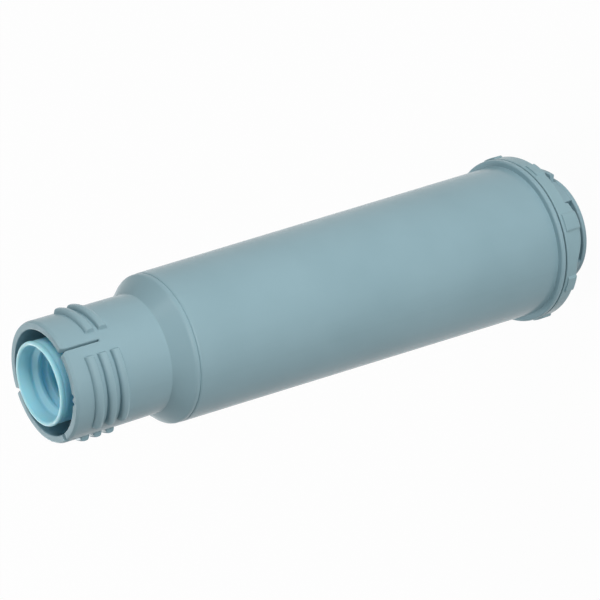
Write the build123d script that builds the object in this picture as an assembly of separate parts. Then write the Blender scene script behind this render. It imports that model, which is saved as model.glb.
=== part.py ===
from build123d import *
from collections import namedtuple
import math
import os

# Water filter cartridge standing on its cap end, neck upwards, axis on Z. All sizes in mm and degrees.

# End disc and hub of the cap
END_DISC_T = 1.2
END_DISC_BEVEL = 0.3
HUB_R = 14.0
HUB_WALL = 1.7
HUB_HEIGHT = 11.8
WINDOW_HEIGHT = 6.4
WINDOW_ANGLE = 68.0
WINDOW_COUNT = 2
WINDOW_MID_ANGLE = -102.4
LOCATING_RING_H = 0.9
LOCATING_RING_T = 1.2

# Catch tabs low on the hub, one on each post between the windows
CATCH_PROUD = 2.0
CATCH_H = 1.2
CATCH_LIFT = 0.4
CATCH_ANGLE = 54.4
CATCH_BEVEL = 0.25

# Snap noses that keep the month ring on the hub
NOSE_COUNT = 3
NOSE_ANGLE = 18.0
NOSE_PROUD = 0.5
NOSE_H = 0.9

# Month ring
RING_SETBACK = 0.05
RING_H = 3.5
RING_WEB_T = 1.5
RING_RIM_T = 1.6
RING_HUB_T = 1.6
RING_EDGE_BEVEL = 0.35
PAD_PROUD = 0.45
PAD_TOP_DROP = 0.7
PAD_COUNT = 8
PAD_ANGLE = 13.6
PAD_FIRST_ANGLE = 0.5

# Grip that reaches down past the ring's edge: start and end, and the arc of its lower edge
LUG_DROP = 1.74
GRIP_ANGLES = (-119.0, -76.0)
GRIP_MID_ANGLE = -93.6
GRIP_ARC_R = 21.6

# Plug of the cap in the barrel
CAP_PLATE_T = 2.0
STANDOFF_WALL = 1.5
CHAMBER_H = 10.0

# Housing: end bead and barrel
BEAD_PROUD = 1.6
BEAD_H = 1.35
BEAD_BEVEL = 0.4
FOOT_BEVEL = 0.4
BARREL_LEN = 104.65
BARREL_R_LOW = 19.05
BARREL_R_TOP = 17.5
BARREL_WALL = 1.7
COUNTERBORE_WALL = 1.25
COUNTERBORE_DEPTH = 6.0

# Housing: shoulder with its parting step
PARTING_STEP = 0.14
PARTING_W = 0.3
SHOULDER_H = 5.05
SHOULDER_EDGE_Z = 0.95
SHOULDER_ROUND = 2.2
SHOULDER_BORE_DROP = 1.0

# Housing: neck and split collar
NECK_R = 13.92
NECK_LEN = 24.7
COLLAR_BORE_R = 12.1
RIM_BEVEL_R = 0.38
RIM_BEVEL_Z = 0.8
SLIT_ANGLES = (-67.0, -170.4, -270.4)
SLIT_W = 0.5
SLIT_LEN = 9.3
SLIT_MOUTH_W = 1.5
SLIT_MOUTH_H = 1.0
KEY_ANGLE = -116.4
KEY_NOTCH_W = 2.6
KEY_NOTCH_DEPTH = 0.6
KEY_NOTCH_H = 1.6
KEY_W = 0.7

# Interrupted thread: first turn's height below the rim, and each arc of the collar with its count of ribs
THREAD_PITCH = 3.25
THREAD_FIRST_DROP = 5.32
RIB_BASE_W = 2.24
RIB_CREST_W = 2.0
RIB_PROUD = 1.05
RIB_BEVEL = 0.45
RIB_ROOT = 0.4
RIB_ANGLES = (
    (-152.4, -78.4),
    (-260.4, -181.4),
    (-338.0, -280.4),
    (-418.0, -364.5),
)
RIB_COUNT = (3, 3, 2, 2)

# Slotted web, outlet spigot and riser socket inside the neck
WEB_T = 2.0
WEB_SLOT_COUNT = 12
WEB_SLOT_W = 3.0
WEB_SLOT_MARGIN = 0.5
SPIGOT_BASE_R = 9.4
SPIGOT_BASE_H = 7.0
SPIGOT_R = 8.2
SPIGOT_H = 9.0
SPIGOT_BEVEL = 0.5
SOCKET_DEPTH = 6.0
SOCKET_BELOW_WEB = 5.0
SOCKET_WALL = 1.2

# Riser tube
TUBE_R = 5.4
TUBE_BORE_R = 4.3
TUBE_REACH = 3.0

# Outlet seal sleeve
SEAL_PROUD = 1.26
SEAL_R = 9.5
SEAL_LIP_R = 9.65
SEAL_LIP_H = 1.35
SEAL_NECK_R = 9.3
SEAL_FUNNEL_R = 9.0
SEAL_FUNNEL_H = 2.6
SEAL_VALLEY_R = 8.3
SEAL_VALLEY_H = 0.75
SEAL_RIDGE_R = 7.2
SEAL_RIDGE_LAND = 0.7
SEAL_RIDGE_PITCH = 2.5
SEAL_BEVEL = 0.2
SEAL_STEP = 0.5
SEAL_SLOPE = 0.9
SEAL_STOP_T = 1.2
SEAL_STOP_R = 6.6

# Felt rings and press plate
FLEECE_T = 2.5
INLET_FLEECE_R = 12.4
PLATE_T = 2.0
PLATE_SLOT_COUNT = 16
PLATE_SLOT_W = 1.2
PLATE_SLOT_MARGIN = 2.0

# Clearances between pieces
RUN_CLEAR = 0.06
RING_GAP = 0.3
PLUG_CLEAR = 0.05
TUBE_CLEAR = 0.05
SEAL_CLEAR = 0.05
LOCATE_CLEAR = 0.05
BED_CLEAR = 0.1

# Reach of a cutting shape past what it cuts
OVERCUT = 1.0

# Radii and heights that follow from the sizes above
COUNTERBORE_R = BARREL_R_LOW - COUNTERBORE_WALL
BEAD_R = BARREL_R_LOW + BEAD_PROUD
RING_R = BEAD_R - RING_SETBACK
HOUSING_END_Z = END_DISC_T + HUB_HEIGHT
BEAD_TOP_Z = HOUSING_END_Z + BEAD_H
SHOULDER_Z = BEAD_TOP_Z + BARREL_LEN
NECK_ROOT_Z = SHOULDER_Z + SHOULDER_H
RIM_Z = NECK_ROOT_Z + NECK_LEN
WEB_LOW_Z = NECK_ROOT_Z - WEB_T
SPIGOT_SEAT_Z = NECK_ROOT_Z + SPIGOT_BASE_H
SPIGOT_TOP_Z = SPIGOT_SEAT_Z + SPIGOT_H
SOCKET_LOW_Z = WEB_LOW_Z - SOCKET_BELOW_WEB
SOCKET_TOP_Z = SOCKET_LOW_Z + SOCKET_DEPTH
SOCKET_R = TUBE_R + TUBE_CLEAR
BOSS_R = SOCKET_R + SOCKET_WALL
COUNTERBORE_Z = HOUSING_END_Z + COUNTERBORE_DEPTH
BORE_TOP_Z = SHOULDER_Z - SHOULDER_BORE_DROP
RING_TOP_Z = HOUSING_END_Z - RING_GAP
RING_LOW_Z = RING_TOP_Z - RING_H
NOSE_TOP_Z = RING_LOW_Z - RING_GAP
CAP_TOP_Z = HOUSING_END_Z + CAP_PLATE_T
PLATE_LOW_Z = CAP_TOP_Z + CHAMBER_H
PLATE_TOP_Z = PLATE_LOW_Z + PLATE_T
BED_LOW_Z = PLATE_TOP_Z + FLEECE_T
BED_TOP_Z = WEB_LOW_Z - FLEECE_T
SEAL_TOP_Z = RIM_Z + SEAL_PROUD


def barrel_r(z):
    """Outside radius of the tapered barrel at a height."""
    share = (z - BEAD_TOP_Z) / BARREL_LEN
    return BARREL_R_LOW + (BARREL_R_TOP - BARREL_R_LOW) * share


def bore_r(z):
    """Inside radius of the tapered barrel at a height."""
    return barrel_r(z) - BARREL_WALL


Corner = namedtuple("Corner", "r z bevel rounding", defaults=(0, 0))


def half_section(corners):
    """Half section in the XZ plane from corners, each with its edge broken by a bevel or a rounding."""
    face = Polygon(*[(c.r, c.z) for c in corners], align=None)
    for c in corners:
        if c.bevel > 0:
            face = chamfer(face.vertices().sort_by_distance((c.r, c.z))[0], c.bevel)
        if c.rounding > 0:
            face = fillet(face.vertices().sort_by_distance((c.r, c.z))[0], c.rounding)
    return Plane.XZ * face


def turned(corners):
    """Solid turned about Z from a half section."""
    return revolve(half_section(corners), Axis.Z)


def sector(corners, start, end):
    """Part of a turned solid between two angles."""
    return Rot(0, 0, start) * revolve(half_section(corners), Axis.Z, end - start)


def plain(*pairs):
    """Sharp corners from radius and height pairs."""
    return [Corner(r, z) for r, z in pairs]


def radial_block(r0, r1, z0, z1, width, angle):
    """Block that lies along a radius from r0 to r1."""
    block = Pos((r0 + r1) / 2, 0, (z0 + z1) / 2) * Box(r1 - r0, width, z1 - z0)
    return Rot(0, 0, angle) * block


def thread_rib(start, end, z_mid):
    """One rib of the interrupted thread, leaning by the thread's lead about its middle radius."""
    half_crest = RIB_CREST_W / 2
    flank = (RIB_BASE_W / 2 - half_crest) / RIB_PROUD
    half_root = half_crest + flank * (RIB_PROUD + RIB_ROOT)
    corners = [
        Corner(NECK_R - RIB_ROOT, -half_root),
        Corner(NECK_R + RIB_PROUD, -half_crest, RIB_BEVEL),
        Corner(NECK_R + RIB_PROUD, half_crest, RIB_BEVEL),
        Corner(NECK_R - RIB_ROOT, half_root),
    ]
    half_arc = (end - start) / 2
    lead = math.degrees(math.atan2(THREAD_PITCH, 2 * math.pi * NECK_R))
    rib = Rot(lead, 0, 0) * sector(corners, -half_arc, half_arc)
    return Pos(0, 0, z_mid) * (Rot(0, 0, (start + end) / 2) * rib)


def thread_ribs():
    """All ribs of the right-hand thread. Turns drop by the pitch as the angle falls."""
    first_end = RIB_ANGLES[0][1]
    ribs = []
    for (start, end), turns in zip(RIB_ANGLES, RIB_COUNT):
        middle = (start + end) / 2
        z_first = RIM_Z - THREAD_FIRST_DROP - THREAD_PITCH * (first_end - middle) / 360
        for turn in range(turns):
            ribs.append(thread_rib(start, end, z_first - THREAD_PITCH * turn))
    return ribs


def slit(angle):
    """One slit of the collar with its widened mouth at the rim."""
    r0 = COLLAR_BORE_R - OVERCUT
    r1 = NECK_R + RIB_PROUD
    cut = radial_block(r0, r1, RIM_Z - SLIT_LEN, RIM_Z + OVERCUT, SLIT_W, angle)
    mouth_low = RIM_Z - SLIT_MOUTH_H
    mouth = Polygon(
        (-SLIT_W / 2, mouth_low),
        (SLIT_W / 2, mouth_low),
        (SLIT_MOUTH_W / 2, RIM_Z),
        (-SLIT_MOUTH_W / 2, RIM_Z),
        align=None,
    )
    wedge = Pos(r0, 0, 0) * extrude(Plane.YZ * mouth, r1 - r0)
    return cut + Rot(0, 0, angle) * wedge


def key_notch():
    """Recess in the collar's inner edge, on either side of a small upright key."""
    outer = COLLAR_BORE_R + KEY_NOTCH_DEPTH
    inner = COLLAR_BORE_R - OVERCUT
    low = RIM_Z - KEY_NOTCH_H
    top = RIM_Z + OVERCUT
    recess = radial_block(inner, outer, low, top, KEY_NOTCH_W, KEY_ANGLE)
    key = radial_block(COLLAR_BORE_R, outer, low, top, KEY_W, KEY_ANGLE)
    return recess - key


def make_housing():
    """Barrel, shoulder, neck, split collar, slotted web and outlet spigot in one moulding."""
    lip_z = SHOULDER_Z - PARTING_W
    shoulder_r = BARREL_R_TOP - PARTING_STEP / 2
    corners = [
        Corner(COUNTERBORE_R, HOUSING_END_Z),
        Corner(BEAD_R, HOUSING_END_Z, BEAD_BEVEL),
        Corner(BEAD_R, BEAD_TOP_Z, BEAD_BEVEL),
        Corner(BARREL_R_LOW, BEAD_TOP_Z, FOOT_BEVEL),
        Corner(barrel_r(lip_z), lip_z),
        Corner(BARREL_R_TOP - 2 * PARTING_STEP, SHOULDER_Z - PARTING_W / 2),
        Corner(shoulder_r, SHOULDER_Z),
        Corner(shoulder_r, SHOULDER_Z + SHOULDER_EDGE_Z, rounding=SHOULDER_ROUND),
        Corner(NECK_R, NECK_ROOT_Z),
        Corner(NECK_R, RIM_Z - RIM_BEVEL_Z),
        Corner(NECK_R - RIM_BEVEL_R, RIM_Z),
        Corner(COLLAR_BORE_R, RIM_Z),
        Corner(COLLAR_BORE_R, NECK_ROOT_Z),
        Corner(SPIGOT_BASE_R, NECK_ROOT_Z),
        Corner(SPIGOT_BASE_R, SPIGOT_SEAT_Z),
        Corner(SPIGOT_R, SPIGOT_SEAT_Z),
        Corner(SPIGOT_R, SPIGOT_TOP_Z, SPIGOT_BEVEL),
        Corner(TUBE_BORE_R, SPIGOT_TOP_Z),
        Corner(TUBE_BORE_R, SOCKET_TOP_Z),
        Corner(SOCKET_R, SOCKET_TOP_Z),
        Corner(SOCKET_R, SOCKET_LOW_Z),
        Corner(BOSS_R, SOCKET_LOW_Z),
        Corner(BOSS_R, WEB_LOW_Z),
        Corner(INLET_FLEECE_R + BED_CLEAR, WEB_LOW_Z),
        Corner(bore_r(BORE_TOP_Z), BORE_TOP_Z),
        Corner(bore_r(COUNTERBORE_Z), COUNTERBORE_Z),
        Corner(COUNTERBORE_R, COUNTERBORE_Z),
    ]
    body = turned(corners)
    body = body + thread_ribs()
    slot_r0 = SPIGOT_BASE_R + WEB_SLOT_MARGIN
    slot_r1 = COLLAR_BORE_R - WEB_SLOT_MARGIN
    slot_low = WEB_LOW_Z - OVERCUT
    slot_top = NECK_ROOT_Z + OVERCUT
    cuts = [slit(angle) for angle in SLIT_ANGLES]
    cuts.append(key_notch())
    for i in range(WEB_SLOT_COUNT):
        angle = 360 / WEB_SLOT_COUNT * i
        cuts.append(radial_block(slot_r0, slot_r1, slot_low, slot_top, WEB_SLOT_W, angle))
    return body - cuts


def make_outlet_seal():
    """Soft sleeve on the spigot: rounded lip, lead-in and two inner ring lips with short lands."""
    funnel_z = SEAL_TOP_Z - SEAL_FUNNEL_H
    half_land = SEAL_RIDGE_LAND / 2
    valley_z = funnel_z - SEAL_VALLEY_H
    ridge_1 = valley_z - SEAL_RIDGE_PITCH / 2
    ridge_2 = ridge_1 - SEAL_RIDGE_PITCH
    valley = (ridge_1 + ridge_2) / 2
    stop_top = SPIGOT_TOP_Z + SEAL_STOP_T
    lip_low = SEAL_TOP_Z - SEAL_LIP_H
    sleeve_r = SPIGOT_R + SEAL_CLEAR
    corners = [
        Corner(sleeve_r, SPIGOT_SEAT_Z),
        Corner(SEAL_R, SPIGOT_SEAT_Z, SEAL_BEVEL),
        Corner(SEAL_R, lip_low - SEAL_SLOPE),
        Corner(SEAL_NECK_R, lip_low),
        Corner(SEAL_LIP_R, lip_low + SEAL_STEP),
        Corner(SEAL_LIP_R, SEAL_TOP_Z, SEAL_BEVEL),
        Corner(SEAL_FUNNEL_R, SEAL_TOP_Z, SEAL_BEVEL),
        Corner(SEAL_VALLEY_R, funnel_z),
        Corner(SEAL_VALLEY_R, valley_z),
        Corner(SEAL_RIDGE_R, ridge_1 + half_land, SEAL_BEVEL),
        Corner(SEAL_RIDGE_R, ridge_1 - half_land, SEAL_BEVEL),
        Corner(SEAL_VALLEY_R, valley),
        Corner(SEAL_RIDGE_R, ridge_2 + half_land, SEAL_BEVEL),
        Corner(SEAL_RIDGE_R, ridge_2 - half_land, SEAL_BEVEL),
        Corner(SEAL_VALLEY_R, stop_top),
        Corner(SEAL_STOP_R, stop_top),
        Corner(SEAL_STOP_R, SPIGOT_TOP_Z),
        Corner(sleeve_r, SPIGOT_TOP_Z),
    ]
    return turned(corners)


def make_riser_tube():
    """Middle tube from the chamber at the cap to the socket under the web."""
    low = PLATE_LOW_Z - TUBE_REACH
    return turned(plain((TUBE_BORE_R, low), (TUBE_R, low), (TUBE_R, SOCKET_TOP_Z), (TUBE_BORE_R, SOCKET_TOP_Z)))


def make_inlet_fleece():
    """Felt ring under the slotted web, round the riser socket."""
    inner = BOSS_R + BED_CLEAR
    corners = plain(
        (inner, BED_TOP_Z),
        (INLET_FLEECE_R, BED_TOP_Z),
        (INLET_FLEECE_R, WEB_LOW_Z),
        (inner, WEB_LOW_Z),
    )
    return turned(corners)


def make_granulate_bed():
    """Filling of the barrel between the two felt rings, round the tube and its socket."""
    tube_gap = TUBE_R + BED_CLEAR
    boss_gap = BOSS_R + BED_CLEAR
    share = (BED_TOP_Z - BORE_TOP_Z) / (WEB_LOW_Z - BORE_TOP_Z)
    top_bore = bore_r(BORE_TOP_Z)
    top_r = top_bore + (INLET_FLEECE_R + BED_CLEAR - top_bore) * share - 2 * BED_CLEAR
    corners = plain(
        (tube_gap, BED_LOW_Z),
        (bore_r(BED_LOW_Z) - BED_CLEAR, BED_LOW_Z),
        (top_bore - BED_CLEAR, BORE_TOP_Z - BED_CLEAR),
        (top_r, BED_TOP_Z),
        (boss_gap, BED_TOP_Z),
        (boss_gap, SOCKET_LOW_Z - BED_CLEAR),
        (tube_gap, SOCKET_LOW_Z - BED_CLEAR),
    )
    return turned(corners)


def make_outlet_fleece():
    """Felt ring between the bed and the press plate."""
    inner = TUBE_R + BED_CLEAR
    outer = bore_r(PLATE_TOP_Z) - 2 * BED_CLEAR
    corners = plain((inner, PLATE_TOP_Z), (outer, PLATE_TOP_Z), (outer, BED_LOW_Z), (inner, BED_LOW_Z))
    return turned(corners)


def make_press_plate():
    """Slotted plate on the cap's standoff ring."""
    inner = TUBE_R + BED_CLEAR
    outer = bore_r(PLATE_LOW_Z) - 2 * BED_CLEAR
    plate = turned(plain((inner, PLATE_LOW_Z), (outer, PLATE_LOW_Z), (outer, PLATE_TOP_Z), (inner, PLATE_TOP_Z)))
    slot_r0 = inner + PLATE_SLOT_MARGIN
    slot_r1 = outer - STANDOFF_WALL - PLATE_SLOT_MARGIN
    slot_low = PLATE_LOW_Z - OVERCUT
    slot_top = PLATE_TOP_Z + OVERCUT
    slots = []
    for i in range(PLATE_SLOT_COUNT):
        angle = 360 / PLATE_SLOT_COUNT * i
        slots.append(radial_block(slot_r0, slot_r1, slot_low, slot_top, PLATE_SLOT_W, angle))
    return plate - slots


def make_end_cap():
    """Plug, standoff ring and hollow hub with its windows, catch tabs and snap noses."""
    plug_r = COUNTERBORE_R - PLUG_CLEAR
    standoff_r = bore_r(PLATE_LOW_Z) - 2 * BED_CLEAR
    skirt_top = COUNTERBORE_Z
    hub_bore = HUB_R - HUB_WALL
    corners = plain(
        (hub_bore, END_DISC_T),
        (HUB_R, END_DISC_T),
        (HUB_R, HOUSING_END_Z),
        (plug_r, HOUSING_END_Z),
        (plug_r, skirt_top),
        (standoff_r, skirt_top),
        (standoff_r, PLATE_LOW_Z),
        (standoff_r - STANDOFF_WALL, PLATE_LOW_Z),
        (standoff_r - STANDOFF_WALL, CAP_TOP_Z),
        (0, CAP_TOP_Z),
        (0, HOUSING_END_Z),
        (hub_bore, HOUSING_END_Z),
    )
    cap = turned(corners)
    nose_corners = plain(
        (HUB_R - NOSE_PROUD, NOSE_TOP_Z - NOSE_H),
        (HUB_R, NOSE_TOP_Z - NOSE_H),
        (HUB_R + NOSE_PROUD, NOSE_TOP_Z),
        (HUB_R - NOSE_PROUD, NOSE_TOP_Z),
    )
    catch_low = END_DISC_T + CATCH_LIFT
    catch_corners = [
        Corner(hub_bore, catch_low),
        Corner(HUB_R + CATCH_PROUD, catch_low, CATCH_BEVEL),
        Corner(HUB_R + CATCH_PROUD, catch_low + CATCH_H, CATCH_BEVEL),
        Corner(hub_bore, catch_low + CATCH_H),
    ]
    post_mid = WINDOW_MID_ANGLE + 180 / WINDOW_COUNT
    for i in range(WINDOW_COUNT):
        middle = post_mid + 360 / WINDOW_COUNT * i
        cap = cap + sector(catch_corners, middle - CATCH_ANGLE / 2, middle + CATCH_ANGLE / 2)
    for i in range(NOSE_COUNT):
        middle = post_mid + 360 / NOSE_COUNT * i
        cap = cap + sector(nose_corners, middle - NOSE_ANGLE / 2, middle + NOSE_ANGLE / 2)
    window_corners = plain(
        (hub_bore - OVERCUT, END_DISC_T - OVERCUT),
        (HUB_R + NOSE_PROUD + OVERCUT, END_DISC_T - OVERCUT),
        (HUB_R + NOSE_PROUD + OVERCUT, END_DISC_T + WINDOW_HEIGHT),
        (hub_bore - OVERCUT, END_DISC_T + WINDOW_HEIGHT),
    )
    for i in range(WINDOW_COUNT):
        middle = WINDOW_MID_ANGLE + 360 / WINDOW_COUNT * i
        cap = cap - sector(window_corners, middle - WINDOW_ANGLE / 2, middle + WINDOW_ANGLE / 2)
    return cap


def make_end_disc():
    """Disc that closes the hub, with a low locating ring inside the hub wall."""
    ring_r = HUB_R - HUB_WALL - LOCATE_CLEAR
    ring_top = END_DISC_T + LOCATING_RING_H
    corners = [
        Corner(0, 0),
        Corner(HUB_R, 0, END_DISC_BEVEL),
        Corner(HUB_R, END_DISC_T),
        Corner(ring_r, END_DISC_T),
        Corner(ring_r, ring_top),
        Corner(ring_r - LOCATING_RING_T, ring_top),
        Corner(ring_r - LOCATING_RING_T, END_DISC_T),
        Corner(0, END_DISC_T),
    ]
    return turned(corners)


def make_month_ring():
    """Turning ring on the hub: rim, web, running hub, raised pads and a long grip."""
    bore = HUB_R + RUN_CLEAR
    web_top = RING_LOW_Z + RING_WEB_T
    corners = [
        Corner(bore, RING_LOW_Z),
        Corner(RING_R, RING_LOW_Z, RING_EDGE_BEVEL),
        Corner(RING_R, RING_TOP_Z, RING_EDGE_BEVEL),
        Corner(RING_R - RING_RIM_T, RING_TOP_Z),
        Corner(RING_R - RING_RIM_T, web_top),
        Corner(bore + RING_HUB_T, web_top),
        Corner(bore + RING_HUB_T, RING_TOP_Z),
        Corner(bore, RING_TOP_Z),
    ]
    ring = turned(corners)
    pad_top = RING_TOP_Z - PAD_TOP_DROP
    inner = RING_R - RING_RIM_T
    lug_low = RING_LOW_Z - LUG_DROP
    pad_corners = [
        Corner(inner, RING_LOW_Z),
        Corner(RING_R + PAD_PROUD, RING_LOW_Z, RING_EDGE_BEVEL),
        Corner(RING_R + PAD_PROUD, pad_top, RING_EDGE_BEVEL),
        Corner(inner, pad_top),
    ]
    for i in range(PAD_COUNT):
        middle = PAD_FIRST_ANGLE + 360 / PAD_COUNT * i
        ring = ring + sector(pad_corners, middle - PAD_ANGLE / 2, middle + PAD_ANGLE / 2)
    grip_corners = plain(
        (inner, lug_low - OVERCUT),
        (RING_R, lug_low - OVERCUT),
        (RING_R, pad_top),
        (inner, pad_top),
    )
    grip_disc = Pos(RING_R, 0, lug_low + GRIP_ARC_R) * (Rot(0, 90, 0) * Cylinder(GRIP_ARC_R, 2 * RING_R))
    grip = sector(grip_corners, *GRIP_ANGLES) & (Rot(0, 0, GRIP_MID_ANGLE) * grip_disc)
    return ring + grip


def main():
    """Build every piece and write it as its own file."""
    os.makedirs("parts", exist_ok=True)
    pieces = {
        "housing": make_housing(),
        "outlet_seal": make_outlet_seal(),
        "riser_tube": make_riser_tube(),
        "inlet_fleece": make_inlet_fleece(),
        "granulate_bed": make_granulate_bed(),
        "outlet_fleece": make_outlet_fleece(),
        "press_plate": make_press_plate(),
        "end_cap": make_end_cap(),
        "end_disc": make_end_disc(),
        "month_ring": make_month_ring(),
    }
    for name, piece in pieces.items():
        solids = piece.solids()
        print(name, len(solids), round(sum(s.volume for s in solids), 1), piece.is_valid)
        export_step(piece, f"parts/{name}.step")


main()
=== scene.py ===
import logging
import math
from dataclasses import dataclass
from enum import Enum

import bmesh
import bpy
import numpy as np
from mathutils import Matrix, Vector


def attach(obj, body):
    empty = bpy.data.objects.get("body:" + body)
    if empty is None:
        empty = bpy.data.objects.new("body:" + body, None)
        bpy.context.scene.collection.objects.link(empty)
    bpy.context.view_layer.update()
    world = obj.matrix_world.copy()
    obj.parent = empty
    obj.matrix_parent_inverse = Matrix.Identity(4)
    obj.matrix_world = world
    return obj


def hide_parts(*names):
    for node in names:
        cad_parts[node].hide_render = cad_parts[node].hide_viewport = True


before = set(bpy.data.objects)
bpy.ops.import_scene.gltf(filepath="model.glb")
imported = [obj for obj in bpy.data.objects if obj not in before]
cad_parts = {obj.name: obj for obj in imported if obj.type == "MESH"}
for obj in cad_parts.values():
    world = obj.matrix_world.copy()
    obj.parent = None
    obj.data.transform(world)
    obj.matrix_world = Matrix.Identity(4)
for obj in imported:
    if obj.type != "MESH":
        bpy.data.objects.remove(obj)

Array = np.ndarray
Socket = bpy.types.NodeSocket
Material = bpy.types.Material
Object = bpy.types.Object
Triple = tuple[float, float, float]
Shade = tuple[int, int, int]
Pair = tuple[float, float]
Names = tuple[str, ...]
Marks = dict[str, int]
MM = 0.001
WELD = 1.5e-6
SPECK = 1e-6
CRISP_ANGLE = math.radians(38.0)
APART = 0.001
CLEAR_SHARE = 0.4
ARC_SHARE = 0.44
SUPPORT_SHARE = 0.05
LOG = logging.getLogger("water_filter")


class Body(Enum):
    """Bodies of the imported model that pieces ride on."""

    CARTRIDGE = "cartridge"
    DIAL = "dial"


class Slot(Enum):
    """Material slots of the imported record."""

    HOUSING = "housing_plastic"
    CAP = "cap_plastic"
    RING = "ring_plastic"
    SEAL = "seal_rubber"
    TUBE = "tube_plastic"
    FELT = "felt"
    GRANULATE = "granulate"


def ramp(x: Array, low: float, high: float) -> Array:
    """Smooth step: 0 up to low, 1 from high, and 3t^2 - 2t^3 between them.

    Args:
        x: Values to step.
        low: Where the step starts.
        high: Where the step ends.

    Returns:
        Array of the shape of x, between 0 and 1.
    """
    t = np.clip((x - low) / (high - low), 0.0, 1.0)
    return t * t * (3.0 - 2.0 * t)


def window(phi: Array, start: float, end: float, soft: float) -> Array:
    """Bump round the circle that is 1 between two angles and falls to 0 at them over a soft edge.

    Args:
        phi: Angles in degrees.
        start: Angle where the bump begins.
        end: Angle where it ends, larger than start.
        soft: Width of each edge in degrees, inside the bump.

    Returns:
        Array of the shape of phi, between 0 and 1.
    """
    from_mid = np.mod(phi - (start + end) / 2 + 180.0, 360.0) - 180.0
    half = (end - start) / 2
    return 1.0 - ramp(np.abs(from_mid), half - soft, half)


def windows(phi: Array, spans: list[Pair], soft: float) -> Array:
    """Largest of the bumps over several spans of angle.

    Args:
        phi: Angles in degrees.
        spans: Start and end of each bump in degrees.
        soft: Width of each edge in degrees.

    Returns:
        Array of the shape of phi, between 0 and 1.
    """
    return np.max([window(phi, start, end, soft) for start, end in spans], axis=0)


def columns(base: float, edges: Array) -> Array:
    """Angles for the columns of a turned grid: an even set that makes way for exact edges.

    Args:
        base: Spacing of the even set in degrees.
        edges: Angles that must be columns, in degrees, in any turn.

    Returns:
        Rising angles from -180 up to 180 degrees.
    """
    exact = np.unique(np.round(np.mod(np.asarray(edges) + 180.0, 360.0) - 180.0, 3))
    even = np.arange(-180.0, 180.0, base)
    apart = np.abs(np.mod(even[:, None] - exact[None, :] + 180.0, 360.0) - 180.0).min(axis=1)
    return np.sort(np.concatenate([exact, even[apart > CLEAR_SHARE * base]]))


def rounded(corners: Array, radii: Array, steps: int = 5, support: float = 0.05) -> Array:
    """Closed outline whose corners are swept by circular arcs.

    Each arc is the rational quadratic curve from tangent point to tangent point, with the corner as its
    middle control point and the cosine of half the turn as that point's weight, which is a true circle. A
    support point beside each tangent keeps the flats flat. A corner of radius 0 stays one point.

    Args:
        corners: Array (..., k, 2) of radius and height, in order round the section.
        radii: Array (k,) of corner roundings.
        steps: Spans of each arc.
        support: Distance of the support points from the tangents.

    Returns:
        Array (..., n, 2) of outline points.
    """
    before = np.roll(corners, 1, axis=-2) - corners
    after = np.roll(corners, -1, axis=-2) - corners
    length_b = np.linalg.norm(before, axis=-1)
    length_a = np.linalg.norm(after, axis=-1)
    unit_b = before / np.maximum(length_b, 1e-9)[..., None]
    unit_a = after / np.maximum(length_a, 1e-9)[..., None]
    half = 0.5 * np.arccos(np.clip((unit_b * unit_a).sum(axis=-1), -1.0, 1.0))
    half = np.maximum(half, 1e-3)
    room = np.minimum(length_b, length_a)
    reach = np.minimum(radii / np.tan(half), ARC_SHARE * room)
    beside = np.minimum(support, SUPPORT_SHARE * room)
    weight = np.sin(half)[..., None, None]
    t = np.linspace(0.0, 1.0, steps + 1)[:, None]
    start = (corners + unit_b * reach[..., None])[..., None, :]
    end = (corners + unit_a * reach[..., None])[..., None, :]
    bend = 2.0 * t * (1.0 - t) * weight
    share = (1.0 - t) ** 2 + bend + t * t
    arc = ((1.0 - t) ** 2 * start + bend * corners[..., None, :] + t * t * end) / share
    lead_in = start + (unit_b * beside[..., None])[..., None, :]
    lead_out = end + (unit_a * beside[..., None])[..., None, :]
    points = np.concatenate([lead_in, arc, lead_out], axis=-2)
    keep = np.zeros((corners.shape[-2], steps + 3), dtype=bool)
    keep[:, 1] = True
    keep[np.asarray(radii) > 0] = True
    return points.reshape(*points.shape[:-3], -1, 2)[..., keep.ravel(), :]


def turned(outline: Array, phi: Array) -> Array:
    """Outline carried round the Z axis: x = r cos phi, y = r sin phi, and z as it is.

    Args:
        outline: Array (n, 2) or (m, n, 2) of radius and height.
        phi: Array (m,) or (m, n) of angles in degrees.

    Returns:
        Array (m, n, 3) of points.
    """
    turn = np.radians(phi if phi.ndim == 2 else phi[:, None])
    r, z = outline[..., 0], outline[..., 1]
    x, y, height = np.broadcast_arrays(r * np.cos(turn), r * np.sin(turn), z)
    return np.stack([x, y, height], axis=-1)


def ring_quads(m: int, n: int) -> Array:
    """Quads of a grid that closes on itself both ways, facing outwards for an anticlockwise outline.

    Args:
        m: Columns round the axis.
        n: Points of the outline.

    Returns:
        Array (m, n, 4) of vertex numbers, where column i and point j have number i * n + j.
    """
    i, j = np.meshgrid(np.arange(m), np.arange(n), indexing="ij")
    i2, j2 = (i + 1) % m, (j + 1) % n
    return np.stack([i * n + j, i2 * n + j, i2 * n + j2, i * n + j2], axis=-1)


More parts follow.
